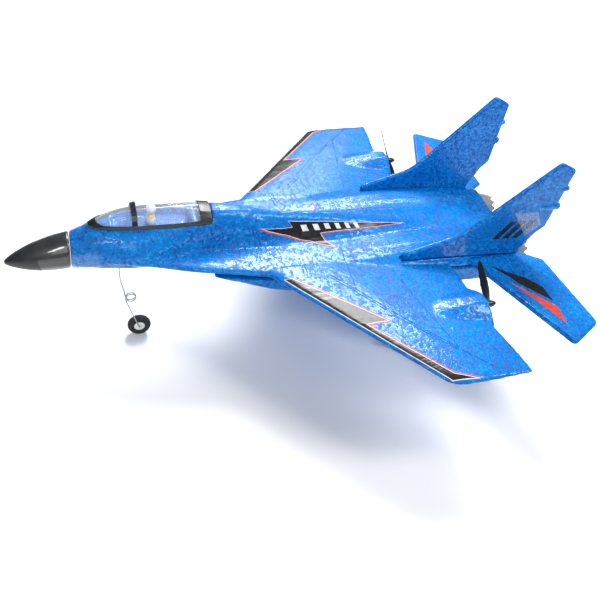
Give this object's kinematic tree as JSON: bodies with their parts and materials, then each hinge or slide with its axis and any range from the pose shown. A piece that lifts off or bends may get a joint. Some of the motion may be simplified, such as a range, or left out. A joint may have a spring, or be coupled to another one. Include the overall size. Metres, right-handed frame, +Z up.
{
  "type": "rc foam airplane",
  "caption": "Radio-controlled foam jet with twin pusher propellers, clear canopy, canted fins and wire landing gear.",
  "frame": {"origin": "on the floor under the wheels, below the middle of the model's bounding box", "axes": "-Y towards the nose, +Y towards the tail, +X towards the left wing tip, +Z up"},
  "size_m": [0.38, 0.4702, 0.2096],
  "materials": {
    "foam_blue": "expanded bead foam, satin skin",
    "black_plastic": "satin moulded",
    "grey_plastic": "matt moulded",
    "white_plastic": "moulded",
    "clear_canopy": "clear vacuum-formed sheet",
    "wire_steel": "drawn spring wire",
    "wheel_foam": "black sponge tyre",
    "motor_metal": "bright can",
    "board_green": "circuit board",
    "battery_foil": "foil pouch",
    "pilot_yellow": "painted figure",
    "lead_red": "insulated leads"
  },
  "bodies": {
    "airframe": {"foam_airframe": "foam_blue", "nose_cone": "black_plastic", "canopy_shell": "clear_canopy", "canopy_frame": "black_plastic", "pilot_torso": "pilot_yellow", "pilot_helmet": "white_plastic", "nose_socket": "black_plastic", "nose_leg_upper": "wire_steel", "control_board": "board_green", "board_cover": "black_plastic", "switch_body": "black_plastic", "battery": "battery_foil", "battery_plug": "white_plastic", "battery_tray": "black_plastic", "hatch_hinge_pin": "wire_steel", "nacelle_left": "foam_blue", "nacelle_right": "foam_blue", "fin_left": "foam_blue", "fin_right": "foam_blue", "tailplane_left": "foam_blue", "tailplane_right": "foam_blue", "nozzle_left": "grey_plastic", "nozzle_right": "grey_plastic", "motor_left": "motor_metal", "motor_right": "motor_metal", "motor_mount_left": "black_plastic", "motor_mount_right": "black_plastic", "motor_lead_left": "lead_red", "motor_lead_right": "lead_red", "main_socket_left": "black_plastic", "main_socket_right": "black_plastic", "main_leg_left": "wire_steel", "main_leg_right": "wire_steel", "main_axle_cap_left": "black_plastic", "main_axle_cap_right": "black_plastic"},
    "propeller_left": {"propeller_left": "black_plastic", "motor_shaft_left": "wire_steel"},
    "propeller_right": {"propeller_right": "black_plastic", "motor_shaft_right": "wire_steel"},
    "nose_leg": {"nose_leg_lower": "wire_steel", "nose_axle_cap": "black_plastic"},
    "nose_wheel": {"nose_tyre": "wheel_foam", "nose_hub": "white_plastic"},
    "main_wheel_left": {"main_tyre_left": "wheel_foam", "main_hub_left": "white_plastic"},
    "main_wheel_right": {"main_tyre_right": "wheel_foam", "main_hub_right": "white_plastic"},
    "battery_hatch": {"battery_hatch": "black_plastic"},
    "power_switch": {"switch_knob": "white_plastic"}
  },
  "joints": [
    {"name": "propeller_left_spin", "type": "hinge", "parent": "airframe", "child": "propeller_left", "pos_m": [0.114, 0.14645, 0.1084], "axis": [0, 1, 0], "continuous": true},
    {"name": "propeller_right_spin", "type": "hinge", "parent": "airframe", "child": "propeller_right", "pos_m": [-0.114, 0.14645, 0.1084], "axis": [0, 1, 0], "continuous": true},
    {"name": "main_wheel_left_spin", "type": "hinge", "parent": "airframe", "child": "main_wheel_left", "pos_m": [0.049, 0.10985, 0.0105], "axis": [1, 0, 0], "continuous": true},
    {"name": "main_wheel_right_spin", "type": "hinge", "parent": "airframe", "child": "main_wheel_right", "pos_m": [-0.049, 0.10985, 0.0105], "axis": [1, 0, 0], "continuous": true},
    {"name": "nose_leg_flex", "type": "hinge", "parent": "airframe", "child": "nose_leg", "pos_m": [0, -0.13615, 0.0475], "axis": [1, 0, 0], "range_deg": [0, 15], "stiffness_Nm_per_rad": 0.06, "springref_deg": -17.19},
    {"name": "nose_wheel_spin", "type": "hinge", "parent": "nose_leg", "child": "nose_wheel", "pos_m": [0, -0.12815, 0.0105], "axis": [1, 0, 0], "continuous": true},
    {"name": "battery_hatch_hinge", "type": "hinge", "parent": "airframe", "child": "battery_hatch", "pos_m": [0, -0.00015, 0.0993], "axis": [-1, 0, 0], "range_deg": [0, 95]},
    {"name": "power_switch_slide", "type": "slide", "parent": "airframe", "child": "power_switch", "axis": [1, 0, 0], "range_m": [0, 0.0026]}
  ]
}
